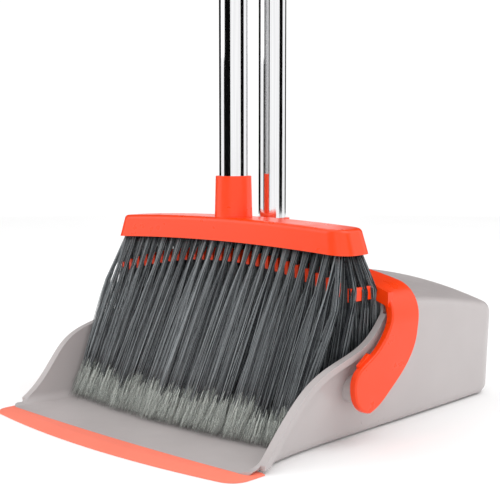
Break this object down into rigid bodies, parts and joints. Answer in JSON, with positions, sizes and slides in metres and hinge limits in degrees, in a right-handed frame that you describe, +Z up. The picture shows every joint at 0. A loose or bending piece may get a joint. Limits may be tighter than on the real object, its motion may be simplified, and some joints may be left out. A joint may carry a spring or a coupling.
{
  "type": "dustpan and broom set",
  "caption": "Upright open-mouthed bin dustpan on a swinging yoke handle, with a long broom clipped on whose bristles sit in the yoke's comb.",
  "frame": {"origin": "middle of the footprint, on the floor the pan stands on", "axes": "+Z up along the handles, -Y out of the mouth of the pan, +X to the right of someone facing along +Y"},
  "size_m": [0.3204, 0.394, 1.329],
  "materials": {
    "pan_grey": "satin moulded",
    "lip_salmon": "soft matt",
    "orange": "semi-gloss moulded",
    "block_dark": "moulded",
    "bristle": "glossy filament with pale flagged tips",
    "tube_steel": "polished stainless",
    "coupler_dark": "moulded",
    "grip_grey": "soft matt",
    "screw_steel": "zinc plated"
  },
  "bodies": {
    "dustpan": {"pan_shell": "pan_grey", "lip_strip": "lip_salmon"},
    "handle": {"yoke": "orange", "comb": "orange", "pivot_washers": "screw_steel", "pivot_screws": "screw_steel", "pan_tube_plug": "coupler_dark", "pan_tube_lower": "tube_steel", "pan_tube_coupler": "coupler_dark", "pan_tube_upper": "tube_steel", "pan_grip": "grip_grey", "pan_end_cap": "orange", "tube_clip": "orange", "clip_screw": "screw_steel"},
    "broom": {"head_cap": "orange", "tuft_block": "block_dark", "head_screws": "screw_steel", "bristles_front": "bristle", "bristles_mid_front": "bristle", "bristles_mid_rear": "bristle", "bristles_rear": "bristle", "broom_tube_plug": "coupler_dark", "broom_tube_lower": "tube_steel", "broom_coupler_lower": "coupler_dark", "broom_tube_middle": "tube_steel", "broom_coupler_upper": "coupler_dark", "broom_tube_upper": "tube_steel", "broom_grip": "grip_grey", "broom_end_cap": "orange"}
  },
  "joints": [
    {"name": "yoke_pivot", "type": "hinge", "parent": "dustpan", "child": "handle", "pos_m": [0, -0.043, 0.044], "axis": [1, 0, 0], "range_deg": [0, 78], "deforming": ["bristles_front", "bristles_mid_front", "bristles_mid_rear", "bristles_rear"]},
    {"name": "broom_lift", "type": "slide", "parent": "handle", "child": "broom", "axis": [0, 0, 1], "range_m": [0, 0.25]}
  ]
}
